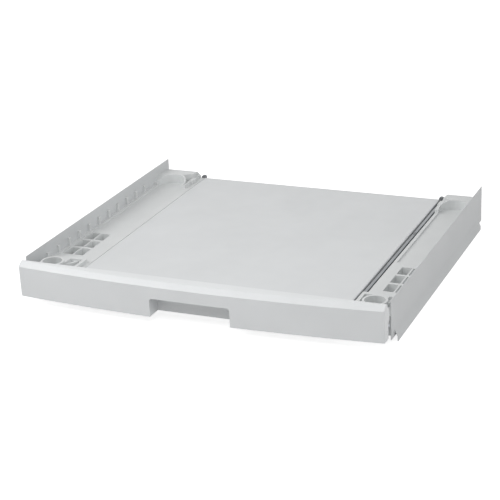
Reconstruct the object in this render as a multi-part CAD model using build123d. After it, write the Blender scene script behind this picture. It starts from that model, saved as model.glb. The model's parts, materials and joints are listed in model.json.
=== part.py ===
from build123d import *
import math
import os

os.makedirs("parts", exist_ok=True)

# Whole kit, in millimetres. x runs across, y to the back, z up.
# The pieces are built from the machine's top (z 0) and the fascia's end corners (y 0).
appliance_width = 598.0
carcass_depth = 543.0
wall_height = 56.0
overrun = 2.0

# Fascia: a moulded shell, bowed to the front and open at the back
bow_rise = 15.0
fascia_end_depth = 15.5
fascia_wall = 3.0
fascia_slope_drop = 6.8
fascia_slope_back = 9.5
fascia_crown_round = 2.5
fascia_rear_round = 4.5
fascia_end_round = 3.0
fascia_edge_round = 1.5
fascia_rib = 2.0
ear_foot_reach = 2.0
ear_reach = 6.5
ear_foot_height = 24.0
ear_bottom = 28.5
ear_top = 46.0
ear_root_top = 50.0
grip_width = 131.0
grip_height = 30.0
grip_round = 5.0
boss_radius = 4.5

# Pull-out shelf: a moulded tray turned upside down, ribbed below
shelf_proud = 0.4
shelf_depth_below = 17.0
shelf_wall = 3.0
shelf_rib = 2.0
shelf_cell = 56.0
shelf_rib_rise = 2.0
shelf_edge_round = 1.5

# Side plates of bent sheet, with a skirt that hangs over the machine's sides
plate_thickness = 1.0
plate_overhang = 1.3
plate_front_gap = 11.2
plate_toe_drop = 6.3
toe_length = 24.0
skirt_front_setback = 15.6
skirt_rear_setback = 25.6
skirt_drop = 14.0
skirt_step = 5.4
flare_top = 4.0
flare_bottom = -7.0
flange_width = 8.5
flange_screw_share = 0.65

# Slides: three nested channels with two ball cages on each side, held off the rails on bosses
slide_thickness = 7.0
slide_gap = 3.2
slide_height = 20.2
slide_bar_gap = 0.2
slide_setback = 43.0
travel_share = 0.72
cage_length_share = 0.456
member_wall = 1.0
member_bend = 1.2
ball_diameter = 2.0
ball_clearance = 0.1
cage_sheet = 0.5
cage_margin = 16.0
balls_per_row = 5
cage_hole_clearance = 0.12
outer_tip_back = 2.4
web_gap = 1.3
middle_tip_back = 1.3
inner_tip_gap = 0.9
member_end_gap = 0.4

# Foot rails, one on each side. The left one's deck reaches over its slide.
rail_width = 63.6
rail_wall = 3.0
rail_edge_round = 1.5
lip_thickness = 1.2
lip_shelf_gap = 0.5
pad_proud = 0.8
border_width = 6.0
track_depth = 2.5
track_start_gap = 17.0
outer_wall_width = 6.8
outer_wall_rise = 2.0
tab_rise = 15.0
tab_length = 6.0
tab_thickness = 4.0
tab_end_gap = 20.0
rail_pitch = 34.7
pocket_front = 97.8
pocket_length = 29.0
pocket_inset = 20.0
pocket_wall_gap = 1.3
pocket_column_gap = 2.5
pocket_rows = 3
pocket_floor = 4.0
pocket_taper = 4.0

# Foot blocks at the ends of each rail
block_rise = 6.0
block_reach = 2.7
block_length = 74.3
block_slide_gap = 0.6
block_round = 2.0
cup_offset = 0.5
cup_setback = 24.3
cup_radius = 15.6
cup_wall = 3.4
cup_rise = 17.5
cup_floor = 14.0
cup_bridge = 16.0
cell_floor = 26.0
cell_wall = 3.2
cell_inner_wall = 5.2
cell_rear_wall = 7.0
cell_rib = 3.0
slot_width = 4.6
slot_floor = 17.0
stop_setback = 60.4
stop_wall = 4.0
stop_rise = 14.0
stop_ramp = 28.0
stop_lead = 6.6
rear_edge_rise = 11.0
rear_wall = 3.0
rear_ledge_setback = 22.0
rear_ledge_length = 19.0
recess_wall = 4.0
recess_rear_gap = 22.0
recess_length = 34.0
recess_width = 13.5
recess_apex_share = 0.66
recess_depth = 6.0
recess_stop_wall = 2.5

# Cross bars that tie the rails
bar_thickness = 2.0
bar_width = 30.0
bar_bead_width = 14.0
bar_bead_rise = 4.0
bar_end_reach = 30.0
bar_bead_setback = 12.0
front_bar_setback = 27.0
rear_bar_setback = 37.0
land_margin = 6.0

# Pads, end caps and clips
pad_thickness = 2.0
pad_width = 26.0
pad_length = 60.0
pad_fit = 0.2
cap_reach = 6.0
cap_rise = 5.8
cap_shelf_lap = 1.5
cap_shelf_gap = 0.2
cap_slide_gap = 0.8
cap_ear_width = 10.0
cap_ear_thickness = 3.5
cap_round = 1.5
clip_length = 9.0
clip_lip_gap = 0.1
clip_width = 3.2
clip_setback = 168.0

# Screws and rivets
screw_radius = 1.75
screw_head_radius = 3.0
screw_head_height = 2.2
csk_head_radius = 3.2
screw_length = 11.0
bar_screw_length = 8.0
fascia_screw_length = 15.0
rivet_radius = 1.4
rivet_head_radius = 2.3
rivet_tail_radius = 2.8
rivet_tail_height = 1.4
hole_clearance = 0.15
pilot_clearance = 0.03

# Places worked out from the sizes above
half_width = appliance_width / 2
plate_outer = half_width + plate_overhang
plate_inner = plate_outer - plate_thickness
rail_inner = plate_inner - rail_width
slide_web = rail_inner - slide_gap
shelf_half = slide_web - slide_thickness
shelf_width = 2 * shelf_half
plate_front = fascia_end_depth + plate_front_gap
rail_front = plate_front + plate_thickness
rail_rear = carcass_depth - plate_thickness
slide_foot = pad_proud + bar_thickness + slide_bar_gap
slide_z = slide_foot + slide_height / 2
slide_top = slide_foot + slide_height
slide_rear = carcass_depth
slide_front = slide_setback
slide_length = slide_rear - slide_front
slide_travel = travel_share * slide_length
cage_length = cage_length_share * slide_length
ledge_z = slide_top + block_slide_gap
deck_height = ledge_z + lip_thickness
shelf_top = deck_height + shelf_proud
block_top = deck_height + block_rise
block_inner = rail_inner - block_reach
rail_middle = (rail_inner + plate_inner) / 2
cup_x = rail_middle + cup_offset
cup_y = rail_front + cup_setback
stop_y = carcass_depth - stop_setback
stop_top = deck_height + stop_rise
arm_foot = stop_y - stop_lead
track_floor = deck_height - track_depth
track_inner = rail_inner + border_width
outer_wall_inner = plate_inner - outer_wall_width
track_middle = (track_inner + outer_wall_inner) / 2
stop_radius = (outer_wall_inner - track_inner) / 2
pocket_start = rail_front + pocket_front
pocket_end = pocket_start + (pocket_rows - 1) * rail_pitch + pocket_length
pockets_width = rail_width - pocket_inset - outer_wall_width - pocket_wall_gap
pocket_width = (pockets_width - pocket_column_gap) / 2
track_front = pocket_end + track_start_gap
recess_inner = rail_inner + recess_wall
recess_end = rail_rear - recess_rear_gap
front_bar_y = rail_front + front_bar_setback
rear_bar_y = rail_rear - rear_bar_setback
overall_depth = bow_rise + carcass_depth + cap_reach
corner_y = bow_rise - overall_depth / 2
place = Location((0, corner_y, skirt_drop))

# The bow is an arc through the two end corners and the middle of the front
bow_radius = (half_width**2 + bow_rise**2) / (2 * bow_rise)

# Cells between the ribs below the shelf
cell_count_x = 2 * round(shelf_width / (2 * shelf_cell))
cell_pitch_x = (shelf_width - 2 * shelf_wall + shelf_rib) / cell_count_x
shelf_length = carcass_depth - fascia_end_depth
cell_count_y = round(shelf_length / shelf_cell)
cell_pitch_y = (shelf_length - 2 * shelf_wall + shelf_rib) / cell_count_y
shelf_bottom = shelf_top - shelf_depth_below
fascia_screw_z = shelf_bottom + shelf_depth_below / 2
fascia_screw_cells = range(cell_count_x // 2 - 1, -1, -2)
fascia_screw_xs = [side * (cell + 1 / 2) * cell_pitch_x for side in (-1, 1) for cell in fascia_screw_cells]
rail_screw_ys = [front_bar_y, pocket_start + rail_pitch, rear_bar_y]
shelf_rivet_steps = (2, cell_count_y // 2, cell_count_y - 2)
shelf_rivet_ys = [
    fascia_end_depth + shelf_wall + (step - 1) * cell_pitch_y + (cell_pitch_y - shelf_rib) / 2
    for step in shelf_rivet_steps
]
flange_screw_z = pad_proud + flange_screw_share * (deck_height - pad_proud)
flange_screw_x = plate_inner - flange_width / 2
bar_screw_x = rail_inner + bar_end_reach / 2
cap_screw_x = rail_inner + cap_ear_width / 2


def block(x0, x1, y0, y1, z0, z1):
    """A rectangular solid between two corners."""
    centre = ((x0 + x1) / 2, (y0 + y1) / 2, (z0 + z1) / 2)
    return Pos(*centre) * Box(abs(x1 - x0), abs(y1 - y0), abs(z1 - z0))


def post(x, y, radius, z0, z1):
    """An upright cylinder."""
    return Pos(x, y, (z0 + z1) / 2) * Cylinder(radius, z1 - z0)


def rod_y(x, z, radius, y0, y1):
    """A cylinder along y."""
    return Pos(x, (y0 + y1) / 2, z) * Rot(90, 0, 0) * Cylinder(radius, y1 - y0)


def rod_x(y, z, radius, x0, x1):
    """A cylinder along x."""
    return Pos((x0 + x1) / 2, y, z) * Rot(0, 90, 0) * Cylinder(radius, x1 - x0)


def bow_y(x):
    """Depth of the fascia's front face at a distance from the middle."""
    return bow_radius - bow_rise - math.sqrt(bow_radius**2 - x**2)


def bowed_solid(inset, rear, bottom, top):
    """The fascia's outline, drawn in by an inset, with the slope along its front top edge."""
    half = half_width - inset
    corner = bow_y(half) + inset
    arc = ThreePointArc((-half, corner), (0, inset - bow_rise), (half, corner))
    sides = Polyline((half, corner), (half, rear), (-half, rear), (-half, corner))
    solid = Pos(0, 0, bottom) * extrude(make_face(arc + sides), amount=top - bottom)
    front_edge = solid.edges().group_by(Axis.Z)[-1].sort_by(Axis.Y)[0]
    front_face = solid.faces().sort_by(Axis.Y)[0]
    slope_length = math.hypot(fascia_slope_drop, fascia_slope_back)
    loss = inset * (fascia_slope_drop + fascia_slope_back - slope_length)
    drop = fascia_slope_drop - loss / fascia_slope_back
    back = fascia_slope_back - loss / fascia_slope_drop
    return chamfer(front_edge, drop, back, reference=front_face)


def fascia_top_edges(solid):
    """The foot of the slope, and the chains of edges that run from it to the back at both ends."""
    foot_z = wall_height - fascia_slope_drop
    upper = [edge for edge in solid.edges() if edge.bounding_box().min.Z > foot_z - fascia_edge_round]
    ends = [edge for edge in upper if abs(edge.center().X) > half_width - fascia_end_round]
    slope_foot = ShapeList(upper).sort_by(Axis.Y)[0]
    return [slope_foot, *ends]


def fascia_shell():
    """The outside of the fascia, with its edges rounded."""
    shell = bowed_solid(0, fascia_end_depth, 0, wall_height)
    crest = shell.edges().group_by(Axis.Z)[-1].sort_by(Axis.Y)[0]
    shell = fillet(crest, fascia_crown_round)
    rear_edge = shell.edges().group_by(Axis.Z)[-1].sort_by(Axis.Y)[-1]
    shell = fillet(rear_edge, fascia_rear_round)
    shell = fillet(shell.edges().filter_by(Axis.Z).group_by(Axis.Y)[0], fascia_end_round)
    return fillet(fascia_top_edges(shell), fascia_edge_round)


def fascia_ears():
    """The parts of the fascia's end walls that reach back towards the side plates."""
    root = fascia_end_depth - fascia_wall
    outline = Polyline(
        (root, 0),
        (fascia_end_depth + ear_foot_reach, 0),
        (fascia_end_depth + ear_foot_reach, ear_foot_height),
        (fascia_end_depth + ear_reach, ear_bottom),
        (fascia_end_depth + ear_reach, ear_top),
        (fascia_end_depth, ear_root_top),
        (root, ear_root_top),
        close=True,
    )
    ear = Pos(half_width - fascia_wall, 0, 0) * extrude(Plane.YZ * make_face(outline), amount=fascia_wall)
    return [ear, mirror(ear, about=Plane.YZ)]


def make_fascia():
    """Bowed front with rounded edges, ribbed behind, and a grip notch in its lower edge."""
    shell = fascia_shell()
    hollow_rear = fascia_end_depth + overrun
    hollow = bowed_solid(fascia_wall, hollow_rear, fascia_wall, wall_height - fascia_wall)
    rib_count = math.floor((half_width - fascia_wall) / cell_pitch_x)
    for step in range(-rib_count, rib_count + 1):
        x = step * cell_pitch_x
        hollow -= block(x - fascia_rib / 2, x + fascia_rib / 2, -bow_rise, hollow_rear, 0, wall_height)
    grip_half = grip_width / 2
    hollow -= block(
        -grip_half - fascia_wall, grip_half + fascia_wall, -bow_rise, hollow_rear, 0, grip_height + fascia_wall
    )
    for x in fascia_screw_xs:
        hollow -= rod_y(x, fascia_screw_z, boss_radius, bow_y(x), hollow_rear)
    shell -= hollow
    grip = block(
        -grip_half, grip_half, -bow_rise - overrun, fascia_end_depth - fascia_wall, -overrun, grip_height
    )
    top_corners = grip.edges().filter_by(Axis.Y).group_by(Axis.Z)[-1]
    shell -= fillet(top_corners, grip_round)
    shell += fascia_ears()
    pilot = screw_radius + pilot_clearance
    depth = fascia_end_depth + shelf_wall - fascia_screw_length - pilot_clearance
    for x in fascia_screw_xs:
        shell -= rod_y(x, fascia_screw_z, pilot, depth, fascia_end_depth + overrun)
    return shell


def make_shelf_panel():
    """Flat top with turned-down edges and a lattice of ribs below."""
    tray = block(-shelf_half, shelf_half, fascia_end_depth, carcass_depth, shelf_bottom, shelf_top)
    long_edges = tray.edges().filter_by(Axis.Y).group_by(Axis.Z)[-1]
    rear_edge = tray.edges().filter_by(Axis.X).group_by(Axis.Z)[-1].sort_by(Axis.Y)[-1]
    tray = fillet([*long_edges, rear_edge], shelf_edge_round)
    middle_y = (fascia_end_depth + carcass_depth) / 2
    depth = shelf_depth_below - shelf_wall
    cell = Box(cell_pitch_x - shelf_rib, cell_pitch_y - shelf_rib, depth)
    cells = GridLocations(cell_pitch_x, cell_pitch_y, cell_count_x, cell_count_y) * cell
    tray -= [Pos(0, middle_y, shelf_bottom + depth / 2) * solid for solid in cells]
    tray -= block(
        -shelf_half + shelf_wall,
        shelf_half - shelf_wall,
        fascia_end_depth + shelf_wall,
        carcass_depth - shelf_wall,
        shelf_bottom - overrun,
        shelf_bottom + shelf_rib_rise,
    )
    hole = screw_radius + hole_clearance
    for x in fascia_screw_xs:
        tray -= rod_y(x, fascia_screw_z, hole, fascia_end_depth - overrun, fascia_end_depth + shelf_wall)
    rivet_hole = rivet_radius + hole_clearance
    for y in shelf_rivet_ys:
        for side in (-1, 1):
            ends = sorted((side * (shelf_half - shelf_wall), side * (shelf_half + overrun)))
            tray -= rod_x(y, slide_z, rivet_hole, *ends)
    return tray


def rail_hollows():
    """What the mould takes out of a rail's underside, between its walls, lands and cross ribs."""
    inner = rail_inner + rail_wall
    outer = plate_inner - rail_wall
    low = pad_proud - overrun
    front_land_end = front_bar_y + bar_width / 2 + land_margin
    rear_land_start = rear_bar_y - bar_width / 2 - land_margin
    rear_land_end = rear_bar_y + bar_width / 2 + land_margin / 2
    cavities = block(inner, outer, front_land_end, pocket_start - rail_wall, low, cup_floor - rail_wall)
    cavities += block(inner, outer, rear_land_end, rail_rear - rail_wall, low, track_floor - rail_wall)
    bay_start = track_front
    bays_length = rear_land_start - pad_length - 2 * land_margin - bay_start
    bay_count = max(1, round(bays_length / rail_pitch))
    bay_pitch = bays_length / bay_count
    for bay in range(bay_count):
        y0 = bay_start + bay * bay_pitch
        cavities += block(inner, outer, y0, y0 + bay_pitch - rail_wall, low, track_floor - rail_wall)
    return cavities


def front_foot_block():
    """Raised block with a round foot cup in a sunk cell, tied to it by four ribs and a solid bridge behind."""
    end = rail_front + block_length
    solid = block(block_inner, plate_inner, rail_front, end, ledge_z, block_top)
    rear_corner = solid.edges().filter_by(Axis.Z).group_by(Axis.Y)[-1].sort_by(Axis.X)[0]
    solid = fillet(rear_corner, block_round)
    solid += block(rail_inner, plate_inner, rail_front, end, cup_floor - rail_wall, ledge_z)
    cell_x0 = block_inner + cell_inner_wall
    cell_x1 = plate_inner - cell_wall
    cell_y0 = rail_front + cell_wall
    cell_y1 = end - cell_rear_wall
    high = block_top + overrun
    cell = block(cell_x0, cell_x1, cell_y0, cell_y1, cell_floor, high)
    cell -= post(cup_x, cup_y, cup_radius + cup_wall, cell_floor, high)
    cell -= block(cup_x - cup_bridge / 2, cup_x + cup_bridge / 2, cup_y, cell_y1, cell_floor, high)
    for corner_x in (cell_x0, cell_x1):
        for corner_depth in (cell_y0, cell_y1):
            run = math.hypot(corner_x - cup_x, corner_depth - cup_y)
            turn = math.degrees(math.atan2(corner_depth - cup_y, corner_x - cup_x))
            rib = Box(2 * run, cell_rib, high - cell_floor)
            cell -= Pos(corner_x, corner_depth, (high + cell_floor) / 2) * Rot(0, 0, turn) * rib
    solid -= cell
    solid -= block(cell_x0, cell_x0 + slot_width, cell_y0, cell_y1, slot_floor, high)
    ring_top = deck_height + cup_rise
    solid += post(cup_x, cup_y, cup_radius + cup_wall, cup_floor - rail_wall, ring_top)
    solid -= post(cup_x, cup_y, cup_radius, cup_floor, ring_top + overrun)
    return solid


def rear_side_profile(low):
    """Side view of the rear block: step, ramp, crest of the back stop, and the slope down to the rear edge."""
    crest_end = stop_y + stop_radius + stop_wall
    return Polyline(
        (arm_foot, low),
        (arm_foot, block_top),
        (arm_foot + stop_ramp, stop_top),
        (crest_end, stop_top),
        (rail_rear, deck_height + rear_edge_rise),
        (rail_rear, low),
        close=True,
    )


def rear_wall_profile():
    """Rear view of the wall along the rear edge, with its inner end cut at 45 degrees."""
    edge_top = deck_height + rear_edge_rise
    return Polyline(
        (block_inner, ledge_z),
        (block_inner, edge_top - (recess_inner - block_inner)),
        (recess_inner, edge_top),
        (recess_inner + rear_wall, edge_top),
        (recess_inner + rear_wall, ledge_z),
        close=True,
    )


def corner_recess():
    """The three-sided recess in the inner corner, beside the back stop."""
    apex_y = recess_end - (1 - recess_apex_share) * recess_length
    triangle = Polyline(
        (recess_inner, recess_end - recess_length),
        (recess_inner, recess_end),
        (recess_inner + recess_width, apex_y),
        close=True,
    )
    high = stop_top + overrun
    floor = block_top - recess_depth
    recess = Pos(0, 0, floor) * extrude(make_face(triangle), amount=high - floor)
    return recess - post(track_middle, stop_y, stop_radius + recess_stop_wall, floor, high)


def rear_foot_block():
    """Raised block with the rounded back stop, the slope behind it and a ledge over the slide."""
    low = track_floor - rail_wall
    reach = plate_inner - recess_inner
    tall = Pos(recess_inner, 0, 0) * extrude(Plane.YZ * make_face(rear_side_profile(low)), amount=reach)
    footprint = post(track_middle, stop_y, stop_radius + stop_wall, low, stop_top)
    footprint += block(track_middle, plate_inner, arm_foot, rail_rear, low, stop_top)
    footprint += block(recess_inner, plate_inner, stop_y + stop_radius, rail_rear, low, stop_top)
    tall &= footprint
    base = block(rail_inner, plate_inner, arm_foot, rail_rear, low, block_top)
    ledge_rear = rail_rear - rear_ledge_setback
    ledge = block(block_inner, rail_inner, ledge_rear - rear_ledge_length, ledge_rear, ledge_z, block_top)
    wall = Pos(0, rail_rear, 0) * extrude(Plane.XZ * make_face(rear_wall_profile()), amount=rear_wall)
    return base + tall + ledge + wall - corner_recess()


def cut_track():
    """What is cut for the shallow track, with the half round end that makes the back stop."""
    high = stop_top + overrun
    track = block(track_inner, outer_wall_inner, track_front, stop_y, track_floor, high)
    return track + post(track_middle, stop_y, stop_radius, track_floor, high)


def rail_pockets():
    """Two columns of tapered pockets, one row at each rib pitch."""
    first = rail_inner + pocket_inset
    second = first + pocket_width + pocket_column_gap
    pockets = Part()
    for row in range(pocket_rows):
        y = pocket_start + row * rail_pitch + pocket_length / 2
        for x in (first, second):
            sketch = Pos(x + pocket_width / 2, y) * Rectangle(pocket_width, pocket_length)
            pocket = extrude(sketch, amount=-(deck_height - pocket_floor), taper=pocket_taper)
            pockets += Pos(0, 0, deck_height) * pocket
    return pockets


def rail_tabs():
    """Upright tabs on the rail's outer wall, one at each rib pitch, that stand against the side plate."""
    tabs = Part()
    first = pocket_start - (rail_pitch - pocket_length) / 2 - rail_pitch
    count = math.floor((stop_y - tab_end_gap - first) / rail_pitch) + 1
    for step in range(count):
        y = first + step * rail_pitch
        tab = block(
            plate_inner - tab_thickness,
            plate_inner,
            y - tab_length / 2,
            y + tab_length / 2,
            deck_height,
            deck_height + tab_rise,
        )
        inner_top = tab.edges().filter_by(Axis.Y).group_by(Axis.Z)[-1].sort_by(Axis.X)[0]
        tabs += fillet(inner_top, tab_thickness / 2)
    return tabs


def rail_deck(covers_slide):
    """Body of the rail with its raised outer wall, and on one side the lip over the slide."""
    body = block(rail_inner, plate_inner, rail_front, rail_rear, pad_proud, deck_height)
    if covers_slide:
        body += block(shelf_half + lip_shelf_gap, rail_inner, rail_front, rail_rear, ledge_z, deck_height)
    else:
        inner_edge = body.edges().filter_by(Axis.Y).group_by(Axis.Z)[-1].sort_by(Axis.X)[0]
        body = fillet(inner_edge, rail_edge_round)
    wall_top = deck_height + outer_wall_rise
    return body + block(outer_wall_inner, plate_inner, rail_front, rail_rear, deck_height, wall_top)


def rail_seats():
    """What is cut from a rail's underside for the cross bars' ends and the pads."""
    seats = []
    for bar_y in (front_bar_y, rear_bar_y):
        y0 = bar_y - bar_width / 2 - pad_fit
        y1 = bar_y + bar_width / 2 + pad_fit
        x1 = rail_inner + bar_end_reach + pad_fit
        seats.append(block(rail_inner - overrun, x1, y0, y1, pad_proud - overrun, pad_proud + bar_thickness))
    pad_half = pad_width / 2 + pad_fit
    for y0, y1 in pad_places():
        low = pad_proud - overrun
        ends = (y0 - pad_fit, y1 + pad_fit)
        seats.append(block(rail_middle - pad_half, rail_middle + pad_half, *ends, low, pad_thickness))
    return seats


def rail_pilots():
    """Pilot holes in a rail for the screws of its slide, cross bars, side plate and end cap."""
    pilot = screw_radius + pilot_clearance
    holes = [rod_x(y, slide_z, pilot, slide_web - overrun, slide_web + screw_length) for y in rail_screw_ys]
    for bar_y in (front_bar_y, rear_bar_y):
        for y in bar_screw_ys(bar_y):
            holes.append(post(bar_screw_x, y, pilot, 0, pad_proud + bar_screw_length))
    shank = screw_length - plate_thickness
    cap_shank = screw_length - cap_ear_thickness
    holes.append(rod_y(flange_screw_x, flange_screw_z, pilot, rail_front - overrun, rail_front + shank))
    holes.append(rod_y(flange_screw_x, flange_screw_z, pilot, rail_rear - shank, rail_rear + overrun))
    holes.append(rod_y(cap_screw_x, slide_z, pilot, rail_rear - cap_shank, rail_rear + overrun))
    return holes


def make_foot_rail(covers_slide):
    """A right-hand rail: deck, pockets, track, cup, back stop and tabs in one moulding."""
    body = rail_deck(covers_slide)
    body -= rail_pockets()
    block_end = rail_front + block_length
    body -= block(rail_inner, plate_inner, rail_front, block_end, cup_floor - rail_wall, block_top)
    body += front_foot_block()
    body += rear_foot_block()
    body -= cut_track()
    body -= rail_hollows()
    body += rail_tabs()
    body += [rod_x(y, slide_z, boss_radius, slide_web, rail_inner + rail_wall) for y in rail_screw_ys]
    body -= rail_seats()
    body -= rail_pilots()
    return body


def pad_places():
    """Start and end of each base pad along the rail, below the pockets and ahead of the rear bar."""
    pockets_middle = (pocket_start + pocket_end) / 2
    rear_end = rear_bar_y - bar_width / 2 - 2 * land_margin
    return [(pockets_middle - pad_length / 2, pockets_middle + pad_length / 2), (rear_end - pad_length, rear_end)]


def bar_screw_ys(bar_y):
    """Places of a cross bar's screws along the kit."""
    return [bar_y + side * bar_width / 4 for side in (-1, 1)]


def make_side_plate():
    """The right-hand plate: upright sheet, stepped skirt between two toes, and a folded flange at each end."""
    skirt_outer = plate_outer + skirt_step
    profile = Polyline(
        (plate_inner, wall_height),
        (plate_outer, wall_height),
        (plate_outer, flare_top),
        (skirt_outer, flare_bottom),
        (skirt_outer, -skirt_drop),
        (skirt_outer - plate_thickness, -skirt_drop),
        (skirt_outer - plate_thickness, flare_bottom),
        (plate_inner, flare_top),
        close=True,
    )
    skirt_front = plate_front + skirt_front_setback
    skirt_rear = carcass_depth - skirt_rear_setback
    plate = Pos(0, skirt_front, 0) * extrude(Plane.XZ * make_face(profile), amount=skirt_front - skirt_rear)
    plate += block(plate_inner, plate_outer, plate_front, carcass_depth, flare_top, wall_height)
    toe_low = -plate_toe_drop
    plate += block(plate_inner, plate_outer, plate_front, plate_front + toe_length, toe_low, flare_top)
    plate += block(plate_inner, plate_outer, carcass_depth - toe_length, carcass_depth, toe_low, flare_top)
    inner = plate_inner - flange_width
    plate += block(inner, plate_inner, plate_front, rail_front, pad_proud, deck_height)
    plate += block(inner, plate_inner, rail_rear, carcass_depth, pad_proud, deck_height)
    hole = screw_radius + hole_clearance
    plate -= rod_y(flange_screw_x, flange_screw_z, hole, plate_front - overrun, rail_front + overrun)
    plate -= rod_y(flange_screw_x, flange_screw_z, hole, rail_rear - overrun, carcass_depth + overrun)
    return plate


def channel(web_x, tip_x, half_height, wall, y0, y1, bend):
    """A C-shaped slide member along y, with its web at one x and its lips ending at another."""
    width = abs(web_x - tip_x)
    facing = 1 if web_x > tip_x else -1
    middle = (web_x + tip_x) / 2
    outline = Rectangle(width, 2 * half_height)
    web_corners = outline.vertices().group_by(Axis.X)[-1]
    outline = fillet(web_corners, bend)
    inside = Pos(-wall, 0) * Rectangle(width, 2 * (half_height - wall))
    inside_corners = inside.vertices().group_by(Axis.X)[-1]
    inside = fillet(inside_corners, bend / 2)
    section = outline - inside
    if facing < 0:
        section = mirror(section, about=Plane.YZ)
    solid = extrude(Plane.XZ * section, amount=y0 - y1)
    return Pos(middle, y0, slide_z) * solid


# Half heights of the members and the lines on which the balls run
ball_gap = ball_diameter + 2 * ball_clearance
outer_half = slide_height / 2
middle_half = outer_half - member_wall - ball_gap
inner_half = middle_half - member_wall - ball_gap
outer_ball_z = outer_half - member_wall - ball_gap / 2
inner_ball_z = middle_half - member_wall - ball_gap / 2
middle_web = slide_web - member_wall - web_gap
outer_tip = shelf_half + outer_tip_back
middle_tip = shelf_half + middle_tip_back
inner_tip = middle_web - member_wall - inner_tip_gap
outer_ball_x = (outer_tip + middle_web) / 2
inner_ball_x = (middle_tip + inner_tip) / 2
cage_front = slide_front + slide_travel / 4 + cage_margin
ball_pitch = cage_length / balls_per_row


def csk_cutter_x(x_face, y, radius, head_radius, facing):
    """A countersunk seat through a member's web, opening towards the side that it faces."""
    cone = Cone(radius + hole_clearance, head_radius + hole_clearance, member_wall)
    middle = x_face - facing * member_wall / 2
    return Pos(middle, y, slide_z) * Rot(0, 90 * facing, 0) * cone


def make_slide_outer():
    """Fixed member, screwed to the rail's bosses through countersunk seats in its web."""
    member = channel(slide_web, outer_tip, outer_half, member_wall, slide_front, slide_rear, member_bend)
    for y in rail_screw_ys:
        member -= csk_cutter_x(slide_web - member_wall, y, screw_radius, csk_head_radius, -1)
    return member


def make_slide_middle():
    """Middle member, which runs between the two cages."""
    rear = slide_rear - member_end_gap
    return channel(middle_web, middle_tip, middle_half, member_wall, slide_front, rear, member_bend / 2)


def make_slide_inner():
    """Inner member, riveted to the shelf's side."""
    rear = slide_rear - member_end_gap
    member = channel(shelf_half, inner_tip, inner_half, member_wall, slide_front, rear, member_bend / 4)
    for y in shelf_rivet_ys:
        member -= csk_cutter_x(shelf_half + member_wall, y, rivet_radius, rivet_head_radius, 1)
    return member


def ball_ys():
    """Places of the balls along a cage."""
    return [cage_front + (step + 1 / 2) * ball_pitch for step in range(balls_per_row)]


def make_cage(web_x, tip_x, line_z, ball_x):
    """A thin channel with a hole for each ball in its two lips."""
    cage = channel(web_x, tip_x, line_z + cage_sheet / 2, cage_sheet, cage_front, cage_front + cage_length, cage_sheet)
    hole = ball_diameter / 2 + cage_hole_clearance
    for y in ball_ys():
        cage -= post(ball_x, y, hole, slide_z - line_z - overrun, slide_z - line_z + overrun)
        cage -= post(ball_x, y, hole, slide_z + line_z - overrun, slide_z + line_z + overrun)
    return cage


def make_balls(line_z, ball_x):
    """The balls of one cage, in two rows."""
    return [
        Pos(ball_x, y, slide_z + side * line_z) * Sphere(ball_diameter / 2)
        for y in ball_ys()
        for side in (-1, 1)
    ]


def make_end_cap():
    """Domed cap behind the slide's end, with an ear that is screwed to the rail's rear wall."""
    inner = shelf_half - cap_shelf_lap
    front = carcass_depth + cap_shelf_gap
    cap = block(inner, slide_web, front, carcass_depth + cap_reach, slide_foot, slide_top + cap_rise)
    top_edges = cap.edges().filter_by(Axis.Y).group_by(Axis.Z)[-1]
    cap = fillet(top_edges, (slide_web - inner) / 2 - cap_slide_gap)
    ear_end = rail_rear + cap_ear_thickness
    cap += block(slide_web, rail_inner + cap_ear_width, rail_rear, ear_end, slide_foot, slide_top)
    hole = screw_radius + hole_clearance
    cap -= rod_y(cap_screw_x, slide_z, hole, rail_rear - overrun, ear_end + overrun)
    return cap


def make_lock_clip():
    """Small clip that lies flat on the slide, under the height of the left rail's lip."""
    y = carcass_depth - clip_setback
    x1 = slide_web - member_bend / 2
    clip_top = ledge_z - clip_lip_gap
    return block(x1 - clip_width, x1, y - clip_length / 2, y + clip_length / 2, slide_top, clip_top)


def make_base_pads():
    """Non-slip pads let into the rail's underside."""
    half = pad_width / 2
    return [block(rail_middle - half, rail_middle + half, y0, y1, 0, pad_thickness) for y0, y1 in pad_places()]


def make_cross_bar(bar_y):
    """Flat bar with a raised hollow bead between its ends."""
    half = rail_inner + bar_end_reach
    low = pad_proud
    high = low + bar_thickness
    bar = block(-half, half, bar_y - bar_width / 2, bar_y + bar_width / 2, low, high)
    bead_half = shelf_half - bar_bead_setback
    bead_y = bar_bead_width / 2
    bar += block(-bead_half, bead_half, bar_y - bead_y, bar_y + bead_y, high, high + bar_bead_rise)
    bead_hollow = bead_y - bar_thickness
    bar -= block(
        -bead_half + bar_thickness,
        bead_half - bar_thickness,
        bar_y - bead_hollow,
        bar_y + bead_hollow,
        low - overrun,
        low + bar_bead_rise,
    )
    cone = Cone(csk_head_radius + hole_clearance, screw_radius + hole_clearance, bar_thickness)
    for y in bar_screw_ys(bar_y):
        for side in (-1, 1):
            bar -= Pos(side * bar_screw_x, y, low + bar_thickness / 2) * cone
    return bar


def pan_screw(length):
    """A pan-head screw along -z, with the underside of its head at the origin."""
    head = Pos(0, 0, screw_head_height / 2) * Cylinder(screw_head_radius, screw_head_height)
    head = fillet(head.edges().group_by(Axis.Z)[-1], screw_head_height / 2)
    return head + Pos(0, 0, -length / 2) * Cylinder(screw_radius, length)


def csk_screw(head_height, length, radius, head_radius):
    """A countersunk screw or rivet along -z, with the top of its head at the origin."""
    head = Pos(0, 0, -head_height / 2) * Cone(radius, head_radius, head_height)
    return head + Pos(0, 0, -(head_height + length) / 2) * Cylinder(radius, length - head_height)


def both_sides(solids):
    """The given solids and their mirror images."""
    return [*solids, *[mirror(solid, about=Plane.YZ) for solid in solids]]


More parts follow.
